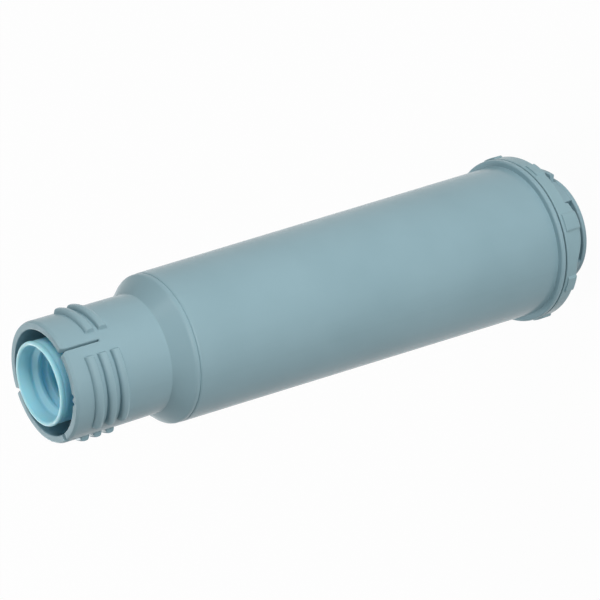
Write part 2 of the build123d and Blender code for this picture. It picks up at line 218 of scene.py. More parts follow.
def make_piece(name: str, points: Array, quads: Array, body: Body, nodes: Names) -> Object:
    """Mesh object from points in mm, smooth with crisp edges, riding on its body.

    Args:
        name: Name of the piece.
        points: Array (..., 3) of points in mm.
        quads: Array (..., 4) of vertex numbers.
        body: Body that the piece moves with.
        nodes: Nodes that the piece stands for.

    Returns:
        The object.
    """
    mesh = bpy.data.meshes.new(name)
    mesh.from_pydata((points.reshape(-1, 3) * MM).tolist(), [], quads.reshape(-1, 4).tolist())
    work = bmesh.new()
    work.from_mesh(mesh)
    bmesh.ops.remove_doubles(work, verts=work.verts, dist=WELD)
    bmesh.ops.dissolve_degenerate(work, dist=SPECK, edges=work.edges)
    work.to_mesh(mesh)
    work.free()
    mesh.shade_smooth()
    mesh.set_sharp_from_angle(angle=CRISP_ANGLE)
    piece = bpy.data.objects.new(name, mesh)
    bpy.context.scene.collection.objects.link(piece)
    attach(piece, body.value)
    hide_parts(*nodes)
    return piece


def turned_piece(name: str, outline: Array, phi: Array, body: Body, nodes: Names) -> Object:
    """Piece that is an outline carried round the axis.

    Args:
        name: Name of the piece.
        outline: Array (n, 2) or (m, n, 2) of radius and height in mm.
        phi: Array (m,) of angles in degrees.
        body: Body that the piece moves with.
        nodes: Nodes that the piece stands for.

    Returns:
        The object.
    """
    points = turned(outline, phi)
    return make_piece(name, points, ring_quads(*points.shape[:2]), body, nodes)


def dress(piece: Object, material: Material) -> None:
    """Give a piece one material in all its slots.

    Args:
        piece: Object to dress.
        material: Finish that it gets.
    """
    if not piece.material_slots:
        piece.data.materials.append(material)
    for place in piece.material_slots:
        place.material = material


def linear(red: int, green: int, blue: int) -> tuple[float, float, float, float]:
    """Linear colour of a display colour, by the standard display curve.

    Args:
        red: Red, 0 to 255.
        green: Green, 0 to 255.
        blue: Blue, 0 to 255.

    Returns:
        Red, green, blue and full alpha.
    """
    c = np.array([red, green, blue]) / 255.0
    flat = np.where(c <= 0.04045, c / 12.92, ((c + 0.055) / 1.055) ** 2.4)
    return (float(flat[0]), float(flat[1]), float(flat[2]), 1.0)


class Graph:
    """Node tree of one material, with the shader that every finish ends in."""

    def __init__(self, name: str) -> None:
        """Start a material with a Principled shader and Object coordinates.

        Args:
            name: Name of the material.
        """
        self.material = bpy.data.materials.new(name)
        self.material.use_nodes = True
        self.tree = self.material.node_tree
        self.shader = self.tree.nodes["Principled BSDF"]
        self.place = self.add("ShaderNodeTexCoord").outputs["Object"]

    def add(self, kind: str, **values: object) -> bpy.types.Node:
        """Add a node and set its properties.

        Args:
            kind: Type name of the node.
            values: Properties by name.

        Returns:
            The node.
        """
        node = self.tree.nodes.new(kind)
        for key, value in values.items():
            setattr(node, key, value)
        return node

    def link(self, source: Socket, target: Socket) -> None:
        """Join two sockets."""
        self.tree.links.new(source, target)

    def noise(self, scale: float, detail: float, stretch: Triple = (1.0, 1.0, 1.0)) -> Socket:
        """Noise over the piece, stretched along its axes.

        Args:
            scale: Waves per metre.
            detail: Octaves.
            stretch: Factor of the coordinates along X, Y and Z.

        Returns:
            The noise value's socket.
        """
        mapping = self.add("ShaderNodeMapping")
        mapping.inputs["Scale"].default_value = stretch
        self.link(self.place, mapping.inputs["Vector"])
        node = self.add("ShaderNodeTexNoise")
        node.inputs["Scale"].default_value = scale
        node.inputs["Detail"].default_value = detail
        self.link(mapping.outputs["Vector"], node.inputs["Vector"])
        return node.outputs["Fac"]

    def blend(self, fac: Socket, low: Shade, high: Shade, start: float = 0.35, end: float = 0.65) -> Socket:
        """Colour that runs from low to high as a value goes from start to end.

        Args:
            fac: Value that drives the colour.
            low: Display colour at the start.
            high: Display colour at the end.
            start: Value where the run starts.
            end: Value where it ends.

        Returns:
            The colour's socket.
        """
        node = self.add("ShaderNodeValToRGB")
        node.color_ramp.elements[0].position = start
        node.color_ramp.elements[0].color = linear(*low)
        node.color_ramp.elements[1].position = end
        node.color_ramp.elements[1].color = linear(*high)
        self.link(fac, node.inputs["Fac"])
        return node.outputs["Color"]

    def between(self, fac: Socket, low: float, high: float) -> Socket:
        """Value that runs from low to high as a noise goes over its usual range, 0.3 to 0.7.

        Args:
            fac: Noise value.
            low: Lowest value.
            high: Highest value.

        Returns:
            The value's socket.
        """
        node = self.add("ShaderNodeMapRange")
        node.inputs["From Min"].default_value = 0.3
        node.inputs["From Max"].default_value = 0.7
        node.inputs["To Min"].default_value = low
        node.inputs["To Max"].default_value = high
        self.link(fac, node.inputs["Value"])
        return node.outputs["Result"]

    def bump(self, height: Socket, depth: float, strength: float, under: Socket | None = None) -> Socket:
        """Relief from a height, on top of another relief if one is given.

        Args:
            height: Height value.
            depth: Depth of the relief in metres.
            strength: Share of the relief.
            under: Normal of the relief below.

        Returns:
            The normal's socket.
        """
        node = self.add("ShaderNodeBump")
        node.inputs["Distance"].default_value = depth
        node.inputs["Strength"].default_value = strength
        self.link(height, node.inputs["Height"])
        if under is not None:
            self.link(under, node.inputs["Normal"])
        return node.outputs["Normal"]


@dataclass(frozen=True)
class SatinPlastic:
    """Moulded plastic: a fine eroded grain, faint draw lines along the axis and a slow drift of colour.

    Scales are in waves per metre and depths in metres.
    """

    name: str
    dark: Shade
    light: Shade
    rough: Pair = (0.20, 0.27)
    drift_scale: float = 38.0
    rough_scale: float = 420.0
    line_scale: float = 900.0
    line_stretch: Triple = (1.0, 1.0, 0.02)
    line_depth: float = 0.0000015
    grain_scale: float = 5200.0
    grain_depth: float = 0.0000012
    ior: float = 1.49
    gloss: float = 0.15

    def build(self) -> Material:
        """Make the finish: colour from slow noise, roughness from finer noise, relief from grain and lines.

        Returns:
            The material.
        """
        g = Graph(self.name)
        tint = g.blend(g.noise(self.drift_scale, detail=3.0), self.dark, self.light)
        g.link(tint, g.shader.inputs["Base Color"])
        rough = g.between(g.noise(self.rough_scale, detail=3.0), *self.rough)
        g.link(rough, g.shader.inputs["Roughness"])
        drawn = g.noise(self.line_scale, detail=2.0, stretch=self.line_stretch)
        lines = g.bump(drawn, self.line_depth, strength=0.5)
        eroded = g.noise(self.grain_scale, detail=2.0)
        grain = g.bump(eroded, self.grain_depth, strength=0.6, under=lines)
        g.link(grain, g.shader.inputs["Normal"])
        g.shader.inputs["IOR"].default_value = self.ior
        g.shader.inputs["Specular IOR Level"].default_value = self.gloss
        return g.material


@dataclass(frozen=True)
class SoftRubber:
    """Soft translucent rubber: light scatters inside it, over a silky face with faint mould marks.

    Scales are in waves per metre, and depth and reach in metres.
    """

    name: str
    dark: Shade
    light: Shade
    rough: Pair = (0.40, 0.52)
    drift_scale: float = 60.0
    rough_scale: float = 700.0
    mark_scale: float = 3600.0
    mark_depth: float = 0.000006
    ior: float = 1.45
    scatter: float = 0.7
    scatter_colours: Triple = (0.4, 0.8, 1.0)
    scatter_reach: float = 0.002

    def build(self) -> Material:
        """Make the finish: slow colour drift, silky roughness, scattering and a shallow relief.

        Returns:
            The material.
        """
        g = Graph(self.name)
        tint = g.blend(g.noise(self.drift_scale, detail=2.0), self.dark, self.light)
        g.link(tint, g.shader.inputs["Base Color"])
        rough = g.between(g.noise(self.rough_scale, detail=2.0), *self.rough)
        g.link(rough, g.shader.inputs["Roughness"])
        marks = g.bump(g.noise(self.mark_scale, detail=2.0), self.mark_depth, strength=0.4)
        g.link(marks, g.shader.inputs["Normal"])
        g.shader.inputs["IOR"].default_value = self.ior
        g.shader.inputs["Subsurface Weight"].default_value = self.scatter
        g.shader.inputs["Subsurface Radius"].default_value = self.scatter_colours
        g.shader.inputs["Subsurface Scale"].default_value = self.scatter_reach
        return g.material


@dataclass(frozen=True)
class PressedFelt:
    """Pressed fleece: short fibres as a fine tangled relief over an off-white ground.

    The scale is in waves per metre and the depth in metres.
    """

    name: str
    dark: Shade = (206, 204, 196)
    light: Shade = (240, 239, 233)
    fibre_scale: float = 2600.0
    fibre_stretch: Triple = (1.0, 1.0, 0.5)
    fibre_depth: float = 0.00012
    rough: float = 0.95
    sheen: float = 0.25

    def build(self) -> Material:
        """Make the finish: tangled noise for colour and relief, sheen for the fibre ends.

        Returns:
            The material.
        """
        g = Graph(self.name)
        fibre = g.noise(self.fibre_scale, detail=6.0, stretch=self.fibre_stretch)
        g.link(g.blend(fibre, self.dark, self.light), g.shader.inputs["Base Color"])
        g.link(g.bump(fibre, self.fibre_depth, strength=0.8), g.shader.inputs["Normal"])
        g.shader.inputs["Roughness"].default_value = self.rough
        g.shader.inputs["Sheen Weight"].default_value = self.sheen
        return g.material


@dataclass(frozen=True)
class LooseGranules:
    """Filling of small beads and grains: cells of many browns with a domed relief.

    The scale is in cells per metre and the depth in metres.
    """

    name: str
    dark: Shade = (40, 28, 20)
    light: Shade = (176, 128, 74)
    grain_scale: float = 1150.0
    dome_depth: float = 0.0004
    rough: Pair = (0.45, 0.75)

    def build(self) -> Material:
        """Make the finish: cells give each grain its colour, their distance field its dome.

        Returns:
            The material.
        """
        g = Graph(self.name)
        cells = g.add("ShaderNodeTexVoronoi")
        cells.inputs["Scale"].default_value = self.grain_scale
        g.link(g.place, cells.inputs["Vector"])
        part = g.add("ShaderNodeSeparateColor")
        g.link(cells.outputs["Color"], part.inputs["Color"])
        browns = g.blend(part.outputs["Red"], self.dark, self.light, start=0.2, end=0.9)
        g.link(browns, g.shader.inputs["Base Color"])
        g.link(g.between(part.outputs["Green"], *self.rough), g.shader.inputs["Roughness"])
        dome = g.bump(cells.outputs["Distance"], self.dome_depth, strength=0.9)
        g.link(dome, g.shader.inputs["Normal"])
        return g.material


@dataclass
class Housing:
    """Barrel, bead, shoulder, neck with split collar and interrupted thread, web and spigot. Sizes in mm."""

    end_z: float = 13.0
    bead_r: float = 20.65
    bead_top: float = 14.35
    barrel_low_r: float = 19.05
    barrel_top_r: float = 17.5
    shoulder_z: float = 119.0
    shoulder_r: float = 17.43
    neck_z: float = 124.05
    neck_r: float = 13.92
    bore_r: float = 12.1
    rim_z: float = 148.75
    rim_bevel_in: float = 0.3
    rim_bevel_h: float = 0.7
    seat_r: float = 17.8
    seat_z: float = 19.0
    shoulder_h: float = 0.95
    lip_drop: float = 0.3
    lip_proud: float = 0.004
    bevel_h: float = 0.34
    bevel_in: float = 0.11
    groove_in: float = 0.3
    groove_h: float = 0.13
    foot_r: float = 9.4
    foot_z: float = 131.05
    spigot_r: float = 8.2
    spigot_z: float = 140.05
    outlet_r: float = 4.3
    outlet_z: float = 123.05
    socket_r: float = 5.45
    socket_out_r: float = 6.65
    socket_z: float = 117.05
    web_z: float = 122.05
    web_r: float = 12.5
    inside_top_r: float = 15.815
    inside_top_z: float = 118.0
    inside_low_r: float = 17.289
    pitch: float = 3.25
    first_drop: float = 5.32
    first_end: float = -78.4
    rib_proud: float = 1.05
    rib_half: float = 1.12
    rib_soft: float = 1.9
    lean_top: Pair = (1.3, 5.1)
    lean_root: Pair = (15.0, 20.6)
    lean_after: float = 9.0
    lean_before: float = 8.0
    inner_depth: float = 10.6
    rib_arcs: tuple = ((-152.4, -78.4, 3), (-260.4, -181.4, 3), (-338.0, -280.4, 2), (-418.0, -364.5, 2))
    slits: tuple[float, ...] = (-67.0, -170.4, -270.4)
    slit_half: float = 0.25
    slit_length: float = 9.3
    slit_round: float = 0.25
    round_share: float = 0.8
    round_over: float = 0.2
    mouth_half: float = 0.75
    mouth_height: float = 1.0
    mouth_run: float = 8.0
    key_angle: float = -116.4
    key_half: float = 6.25
    key_mid_half: float = 1.75
    key_soft: float = 0.3
    key_band: float = 0.5
    key_depth: float = 0.6
    key_height: float = 1.6
    slot_count: int = 12
    slot_half: float = 8.02
    slot_in: float = 9.9
    slot_out: float = 11.6
    spacing: float = 4.0

    def slit_edge(self) -> float:
        """Half width of a slit as an angle on the collar, in degrees."""
        return np.degrees(self.slit_half / self.neck_r)

    def shear(self, phi: Array) -> Array:
        """Lift of the thread: half a pitch either way, falling evenly in one turn from the first slit.

        Args:
            phi: Angles in degrees.

        Returns:
            Lift in mm, brought back to 0 at the first slit, where no rib runs.
        """
        theta = np.mod(self.slits[0] - phi, 360.0)
        lift = self.pitch * (180.0 - theta) / 360.0
        return lift * ramp(theta, 0.0, self.lean_after) * (1.0 - ramp(theta, 360.0 - self.lean_before, 360.0))

    def rib_mid(self) -> float:
        """Depth below the rim of the first rib's middle, half a turn from the first slit."""
        return self.first_drop + self.pitch * (180.0 - (self.slits[0] - self.first_end)) / 360.0

    def neck_rows(self) -> Array:
        """Depths below the rim of the rows on the collar's outside, fine across each rib.

        Returns:
            Falling depths in mm, from the neck's root up.
        """
        across = np.array([1.4, 1.18, 1.12, 1.1, 1.05, 0.96, 0.84, 0.68, 0.5, 0.25])
        across = np.concatenate([-across, [0.0], across[::-1]])
        ribs = (self.rib_mid() + self.pitch * np.arange(3)[:, None] + across[None, :]).ravel()
        rim = np.array([1.12, 1.3, 1.5, 1.62, 1.72, 2.1, 2.7, 3.3, 3.9, 4.5])
        root = np.array([16.2, 18.2, 20.4])
        return np.sort(np.concatenate([rim, ribs, root]))[::-1]

    def row(self, outline: Array, r: float, z: float) -> int:
        """Number of the first outline point at a radius and height.

        Args:
            outline: Array (n, 2) of radius and height.
            r: Radius of the point.
            z: Height of the point.

        Returns:
            The row's number.
        """
        return int(np.flatnonzero(np.isclose(outline, (r, z)).all(axis=1))[0])

    def section(self) -> tuple[Array, Marks]:
        """Closed outline of the moulding, and the places in it of the rows that the cuts need.

        Each corner is given by its radius, its height and its rounding.

        Returns:
            Array (n, 2) of radius and height, and the row numbers by name.
        """
        lip = self.shoulder_z - self.lip_drop
        lip_r = self.barrel_top_r + self.lip_proud
        rows = self.neck_rows()
        inner = rows[rows < self.inner_depth][::-1]
        lower = [
            (self.seat_r, self.end_z, 0.15),
            (self.bead_r, self.end_z, 0.45),
            (self.bead_r, self.bead_top, 0.5),
            (self.barrel_low_r, self.bead_top, 0.15),
            (lip_r, lip - self.bevel_h, 0.3),
            (lip_r - self.bevel_in, lip, 0.06),
            (self.barrel_top_r - self.groove_in, lip + self.groove_h, 0.04),
            (self.shoulder_r, self.shoulder_z, 0.09),
            (self.shoulder_r, self.shoulder_z + self.shoulder_h, 2.2),
            (self.neck_r, self.neck_z, 0.3),
        ]
        outside = [(self.neck_r, self.rim_z - d, 0.0) for d in rows]
        rim = [
            (self.neck_r, self.rim_z - self.rim_bevel_h, 0.35),
            (self.neck_r - self.rim_bevel_in, self.rim_z, 0.25),
            (self.bore_r, self.rim_z, 0.2),
        ]
        inside = [(self.bore_r, self.rim_z - d, 0.0) for d in inner]
        deep = [
            (self.bore_r, self.neck_z, 0.4),
            (self.slot_out, self.neck_z, 0.0),
            (self.slot_in, self.neck_z, 0.0),
            (self.foot_r, self.neck_z, 0.25),
            (self.foot_r, self.foot_z, 0.2),
            (self.spigot_r, self.foot_z, 0.1),
            (self.spigot_r, self.spigot_z, 0.5),
            (self.outlet_r, self.spigot_z, 0.3),
            (self.outlet_r, self.outlet_z, 0.0),
            (self.socket_r, self.outlet_z, 0.0),
            (self.socket_r, self.socket_z, 0.15),
            (self.socket_out_r, self.socket_z, 0.15),
            (self.socket_out_r, self.web_z, 0.0),
            (self.slot_in, self.web_z, 0.0),
            (self.slot_out, self.web_z, 0.0),
            (self.web_r, self.web_z, 0.0),
            (self.inside_top_r, self.inside_top_z, 0.6),
            (self.inside_low_r, self.seat_z, 0.0),
            (self.seat_r, self.seat_z, 0.0),
        ]
        corners = np.array(lower + outside + rim + inside + deep)
        outline = rounded(corners[:, :2], corners[:, 2])
        start = self.row(outline, self.neck_r, self.rim_z - rows[0])
        marks = {
            "start": start,
            "last": start + len(rows),
            "inner": self.row(outline, self.bore_r, self.rim_z - inner[0]),
            "top": self.row(outline, self.slot_out, self.neck_z),
            "low": self.row(outline, self.slot_in, self.web_z),
        }
        return outline, marks

    def angles(self) -> Array:
        """Columns of the grid: fine at the slits, the rib ends, the key and the web's slots.

        Returns:
            Rising angles in degrees.
        """
        slit = self.slit_edge() + np.array([0.0, 0.16, 0.41, 0.72, 1.05, 1.8, 3.0, 4.6])
        slit = (np.array(self.slits)[:, None] + np.concatenate([-slit, slit])[None, :]).ravel()
        run = np.array([-0.5, 0.0, 0.3, 0.65, 1.0, 1.35, 1.7, 2.2])
        ends = [a + run for a, _, _ in self.rib_arcs] + [b - run for _, b, _ in self.rib_arcs]
        key = self.key_angle + np.array([-6.35, -6.0, -1.8, -1.5, 1.5, 1.8, 6.0, 6.35])
        mids = np.arange(self.slot_count)[:, None] * 360.0 / self.slot_count
        slots = (mids + np.array([-1.0, 1.0]) * self.slot_half).ravel()
        return columns(self.spacing, np.concatenate([slit, *ends, key, slots]))

    def grid(self) -> tuple[Array, Array, Marks, Array]:
        """Points of the whole surface.

        The outline is turned round the axis. On the collar's outside the rows lean with the thread's lead,
        and the radius gains the rib height: the rib's cross profile, the root of one less the cube of the
        distance from the rib's middle over its half width, times a window over the arc that the rib runs on.
        Beside a slit the outside rounds off, and the columns move apart at the mouth by the square of the
        height above its start. The key recess moves the bore's upper rows out.

        Returns:
            Points (m, n, 3), columns in degrees, row numbers by name, and the lean (m,) of the rows.
        """
        outline, marks = self.section()
        phi = self.angles()
        r = np.repeat(outline[None, :, 0], len(phi), axis=0)
        z = np.repeat(outline[None, :, 1], len(phi), axis=0)
        drop = self.rim_z - outline[:, 1]
        outer = np.zeros(len(outline), dtype=bool)
        outer[marks["start"]:marks["last"]] = True
        lean = self.shear(phi)
        hold = (1.0 - ramp(drop, *self.lean_root)) * ramp(drop, *self.lean_top) * outer
        z = z + hold[None, :] * lean[:, None]
        for k in range(3):
            away = np.abs(drop - self.rib_mid() - self.pitch * k)
            profile = np.sqrt(np.clip(1.0 - (away / self.rib_half) ** 3, 0.0, 1.0)) * outer
            spans = [(start, end) for start, end, count in self.rib_arcs if k < count]
            along = windows(phi, spans, self.rib_soft)
            r = r + self.rib_proud * along[:, None] * profile[None, :]
        shift = np.zeros_like(r)
        upper = np.clip((self.mouth_height - drop) / self.mouth_height, 0.0, 1.0) ** 2
        upper = upper * (drop < self.mouth_height)
        round_r = self.slit_round
        edge = self.slit_edge()
        spread = np.degrees((self.mouth_half - self.slit_half) / self.neck_r)
        outside = outline[:, 0] > (self.bore_r + self.neck_r) / 2
        reach = (drop < self.slit_length + self.round_over) & outside
        for slit in self.slits:
            off = np.mod(phi - slit + 180.0, 360.0) - 180.0
            parted = np.sign(off) * (1.0 - ramp(np.abs(off), edge, self.mouth_run)) * spread
            shift = shift + parted[:, None] * upper[None, :]
            near = np.clip(round_r - np.radians(np.abs(off) - edge) * self.neck_r, 0.0, round_r)
            fall = round_r - np.sqrt(round_r ** 2 - near ** 2)
            r = r - fall[:, None] * reach[None, :] * self.round_share
        notch = window(phi, self.key_angle - self.key_half, self.key_angle + self.key_half, self.key_soft)
        middle = (self.key_angle - self.key_mid_half, self.key_angle + self.key_mid_half)
        notch = notch * (1.0 - window(phi, *middle, self.key_soft))
        lip = (drop < self.key_height) & (np.abs(outline[:, 0] - self.bore_r) < self.key_band)
        r = r + self.key_depth * notch[:, None] * lip[None, :]
        points = turned(np.stack([r, z], axis=-1), phi[:, None] + shift)
        return points, phi, marks, lean

    def cut_slits(self, quads: Array, keep: Array, phi: Array, marks: Marks, lean: Array) -> list[Array]:
        """Open the slits and wall them.

        The faces between a slit's edge columns go, and each edge column is zipped from its foot outside, up
        over the rim and down to its foot inside.

        Args:
            quads: Quads (m, n, 4) of the whole grid.
            keep: Mask (m, n) of quads to keep, changed here.
            phi: Columns in degrees.
            marks: Row numbers by name.
            lean: Lean of the rows at each column.

        Returns:
            Wall and floor quads.
        """
        n = quads.shape[1]
        rows = self.neck_rows()
        edge = self.slit_edge()
        walls = []
        for slit in self.slits:
            mid = np.mod(slit + 180.0, 360.0) - 180.0
            a = int(np.abs(phi - (mid - edge)).argmin())
            b = int(np.abs(phi - (mid + edge)).argmin())
            foot = int(np.abs(rows - lean[a] - self.slit_length).argmin())
            low_row = marks["start"] + foot
            inner_row = marks["inner"] + len(rows) - 1 - foot
            keep[a:b, low_row:inner_row] = False
            up = low_row + np.arange((inner_row - low_row) // 2)
            down = inner_row - np.arange((inner_row - low_row) // 2)
            strip = np.stack([up, up + 1, down - 1, down], axis=-1)
            walls.append(b * n + strip)
            walls.append(a * n + strip[:, ::-1])
            here, there = np.arange(a, b) * n, np.arange(a + 1, b + 1) * n
            floor = [here + low_row, there + low_row, there + inner_row, here + inner_row]
            walls.append(np.stack(floor, axis=-1))
        return walls

    def cut_slots(self, quads: Array, keep: Array, phi: Array, marks: Marks) -> list[Array]:
        """Open the slots of the web and wall them between its upper and lower face.

        Args:
            quads: Quads (m, n, 4) of the whole grid.
            keep: Mask (m, n) of quads to keep, changed here.
            phi: Columns in degrees.
            marks: Row numbers by name.

        Returns:
            Wall quads.
        """
        n = quads.shape[1]
        m = len(phi)
        t_out, t_in = marks["top"], marks["top"] + 1
        l_in, l_out = marks["low"], marks["low"] + 1
        walls = []
        for mid in np.arange(self.slot_count) * 360.0 / self.slot_count:
            mid = np.mod(mid + 180.0, 360.0) - 180.0
            a = int(np.abs(np.mod(phi - (mid - self.slot_half) + 180.0, 360.0) - 180.0).argmin())
            b = int(np.abs(np.mod(phi - (mid + self.slot_half) + 180.0, 360.0) - 180.0).argmin())
            c = a + np.arange((b - a) % m)
            keep[np.ix_(c % m, [t_out, l_in])] = False
            here, there = (c % m) * n, ((c + 1) % m) * n
            walls.append(np.stack([here + l_in, there + l_in, there + t_in, here + t_in], axis=-1))
            walls.append(np.stack([here + t_out, there + t_out, there + l_out, here + l_out], axis=-1))
            walls.append(np.array([[a * n + l_in, a * n + t_in, a * n + t_out, a * n + l_out]]))
            walls.append(np.array([[b * n + l_out, b * n + t_out, b * n + t_in, b * n + l_in]]))
        return walls

    def build(self, material: Material) -> Object:
        """Make the housing's surface and dress it.

        Args:
            material: Finish of the housing.

        Returns:
            The object.
        """
        points, phi, marks, lean = self.grid()
        quads = ring_quads(points.shape[0], points.shape[1])
        keep = np.ones(quads.shape[:2], dtype=bool)
        walls = self.cut_slits(quads, keep, phi, marks, lean) + self.cut_slots(quads, keep, phi, marks)
        faces = np.concatenate([quads[keep], *walls])
        piece = make_piece("housing_moulding", points, faces, Body.CARTRIDGE, ("housing",))
        dress(piece, material)
        return piece


@dataclass
class OutletSeal:
    """Soft sleeve on the spigot with its rounded lip, groove, lead-in and ring lips. Sizes in mm."""

    seat_z: float = 131.05
    top_z: float = 150.01
    stop_z: float = 141.25
    body_r: float = 9.5
    lip_r: float = 9.65
    groove_r: float = 9.3
    lip_height: float = 1.35
    step: float = 0.5
    slope: float = 0.9
    funnel_r: float = 8.75
    funnel_z: float = 147.41
    valley_r: float = 8.3
    valley_z: float = 146.66
    ridge_r: float = 7.2
    ridges: tuple[float, ...] = (145.41, 142.91)
    land: float = 0.35
    seat_r: float = 8.25
    stop_r: float = 6.6
    stop_low: float = 140.05
    spacing: float = 2.5

    def build(self, material: Material) -> Object:
        """Turn the sleeve's section, given by radius, height and rounding of each corner, and dress it.

        Args:
            material: Finish of the sleeve.

        Returns:
            The object.
        """
        lip_low = self.top_z - self.lip_height
        first, second = self.ridges
        section = np.array([
            (self.seat_r, self.seat_z, 0.1),
            (self.body_r, self.seat_z, 0.25),
            (self.body_r, lip_low - self.slope, 1.2),
            (self.groove_r, lip_low, 0.6),
            (self.lip_r, lip_low + self.step, 0.4),
            (self.lip_r, self.top_z, 0.38),
            (self.funnel_r, self.top_z, 0.55),
            (self.valley_r, self.funnel_z, 0.5),
            (self.valley_r, self.valley_z, 0.5),
            (self.ridge_r, first + self.land, 0.35),
            (self.ridge_r, first - self.land, 0.35),
            (self.valley_r, (first + second) / 2, 0.5),
            (self.ridge_r, second + self.land, 0.35),
            (self.ridge_r, second - self.land, 0.35),
            (self.valley_r, self.stop_z, 0.25),
            (self.stop_r, self.stop_z, 0.2),
            (self.stop_r, self.stop_low, 0.1),
            (self.seat_r, self.stop_low, 0.0),
        ])
        outline = rounded(section[:, :2], section[:, 2], steps=6)
        phi = np.arange(-180.0, 180.0, self.spacing)
        piece = turned_piece("outlet_sleeve", outline, phi, Body.CARTRIDGE, ("outlet_seal",))
        dress(piece, material)
        return piece


@dataclass
class EndCap:
    """Plug, standoff ring and hollow hub with windows and snap noses, and the hub's end disc. Sizes in mm."""

    disc_t: float = 1.2
    hub_r: float = 14.0
    hub_bore: float = 12.3
    end_z: float = 13.0
    plug_r: float = 17.75
    skirt_z: float = 19.0
    standoff_r: float = 17.0
    standoff_wall: float = 1.5
    plate_z: float = 25.0
    cap_z: float = 15.0
    window_z: float = 7.6
    window_half: float = 34.0
    window_mid: float = -102.4
    nose_top: float = 8.9
    nose_h: float = 0.9
    nose_proud: float = 0.5
    nose_half: float = 9.0
    catch_low: float = 1.6
    catch_top: float = 2.8
    catch_proud: float = 2.0
    catch_half: float = 27.2
    nose_tip: float = 0.02
    edge_soft: float = 0.3
    locate_gap: float = 0.05
    locate_h: float = 0.9
    locate_t: float = 1.2
    spacing: float = 4.0
    disc_spacing: float = 3.0

    def build_cap(self, material: Material) -> Object:
        """Turn the cap's section, with the hub's edge lifted over the windows and tabs and noses pushed out.

        The lower edge's height is the disc's face, plus the window's height times a window function of the
        angle. A nose is a triangle of radius over height, and a catch tab a bar, each times its own window
        function. Over a window the tab's corners move up with the edge, a hair apart.

        Args:
            material: Finish of the cap.

        Returns:
            The object.
        """
        soft = np.degrees(self.edge_soft / self.hub_r)
        run = np.array([-0.4, 0.0, 0.3, 0.6, 0.9, 1.25])
        middles = [
            ([self.window_mid + 180.0 * k for k in (0, 1)], self.window_half),
            ([self.window_mid + 90.0 + 120.0 * k for k in range(3)], self.nose_half),
            ([self.window_mid + 90.0 + 180.0 * k for k in (0, 1)], self.catch_half),
        ]
        edges = [mid + s * (half - run) for mids, half in middles for mid in mids for s in (-1, 1)]
        phi = columns(self.spacing, np.concatenate(edges))
        gap, nose, catch = [
            windows(phi, [(mid - half, mid + half) for mid in mids], soft) for mids, half in middles
        ]
        inner = self.standoff_r - self.standoff_wall
        section = np.array([
            (self.hub_bore, self.disc_t, 0.2),
            (self.hub_r, self.disc_t, 0.2),
            (self.hub_r, self.catch_low, 0.0),
            (self.hub_r, self.catch_low, 0.25),
            (self.hub_r, self.catch_top, 0.25),
            (self.hub_r, self.catch_top, 0.1),
            (self.hub_r, self.nose_top - self.nose_h, 0.0),
            (self.hub_r, self.nose_top - self.nose_tip, 0.0),
            (self.hub_r, self.nose_top, 0.0),
            (self.hub_r, self.end_z, 0.2),
            (self.plug_r, self.end_z, 0.2),
            (self.plug_r, self.skirt_z, 0.3),
            (self.standoff_r, self.skirt_z, 0.1),
            (self.standoff_r, self.plate_z, 0.2),
            (inner, self.plate_z, 0.2),
            (inner, self.cap_z, 0.4),
            (0.0, self.cap_z, 0.0),
            (0.0, self.end_z, 0.0),
            (self.hub_bore, self.end_z, 0.4),
        ])
        corners = np.repeat(section[None, :, :2], len(phi), axis=0)
        corners[:, 0:2, 1] += (self.window_z - self.disc_t) * gap[:, None]
        lifted = self.window_z + np.array([0.08, 0.1, 0.12, 0.14])
        corners[:, 2:6, 1] += (lifted[None, :] - corners[:, 2:6, 1]) * gap[:, None]
        corners[:, 3:5, 0] += (APART + self.catch_proud * catch)[:, None]
        corners[:, 7, 0] += self.nose_proud * nose
        outline = rounded(corners, section[:, 2])
        piece = turned_piece("cap_moulding", outline, phi, Body.CARTRIDGE, ("end_cap",))
        dress(piece, material)
        return piece

    def build_disc(self, material: Material) -> Object:
        """Turn the end disc with its low locating ring and dress it.

        Args:
            material: Finish of the disc.

        Returns:
            The object.
        """
        ring_r = self.hub_bore - self.locate_gap
        ring_top = self.disc_t + self.locate_h
        section = np.array([
            (0.0, 0.0, 0.0),
            (self.hub_r, 0.0, 0.35),
            (self.hub_r, self.disc_t, 0.4),
            (ring_r, self.disc_t, 0.1),
            (ring_r, ring_top, 0.2),
            (ring_r - self.locate_t, ring_top, 0.2),
            (ring_r - self.locate_t, self.disc_t, 0.2),
            (0.0, self.disc_t, 0.0),
        ])
        outline = rounded(section[:, :2], section[:, 2])
        phi = np.arange(-180.0, 180.0, self.disc_spacing)
        piece = turned_piece("end_disc_moulding", outline, phi, Body.CARTRIDGE, ("end_disc",))
        dress(piece, material)
        return piece


